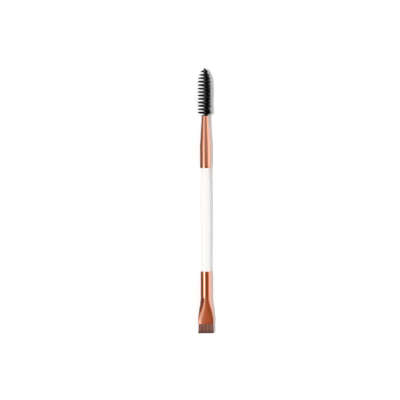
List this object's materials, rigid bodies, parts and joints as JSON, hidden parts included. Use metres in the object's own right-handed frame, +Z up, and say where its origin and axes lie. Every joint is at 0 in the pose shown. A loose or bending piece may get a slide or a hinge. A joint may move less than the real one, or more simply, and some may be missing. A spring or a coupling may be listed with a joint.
{
  "type": "dual-ended brush",
  "caption": "Dual-ended brow brush with a flat cut tuft in a pressed ferrule, a slim turned handle and a twisted-wire spoolie in a cone ferrule.",
  "frame": {"origin": "on the table under the middle of the brush, where it lies at rest", "axes": "+Z up from the table, +Y along the brush towards the spoolie's tip, +X across the flat head"},
  "size_m": [0.0096, 0.1651, 0.0086],
  "materials": {
    "white_handle": "smooth white moulded handle with a clear gloss",
    "rose_gold": "thin aluminium tube, polished and anodised rose gold",
    "brown_filament": "fine brown synthetic filaments, cut straight",
    "cured_resin": "clear amber cured resin, hidden inside the ferrules",
    "stem_wire": "dark drawn steel wire",
    "black_filament": "black nylon filaments, slightly glossy"
  },
  "bodies": {
    "root": {"handle": "white_handle", "brow_ferrule": "rose_gold", "brow_tuft": "brown_filament", "brow_tuft_resin": "cured_resin", "spoolie_ferrule": "rose_gold", "spoolie_stem_resin": "cured_resin", "spoolie_wire_left": "stem_wire", "spoolie_wire_right": "stem_wire", "spoolie_bristles": "black_filament"}
  },
  "joints": []
}
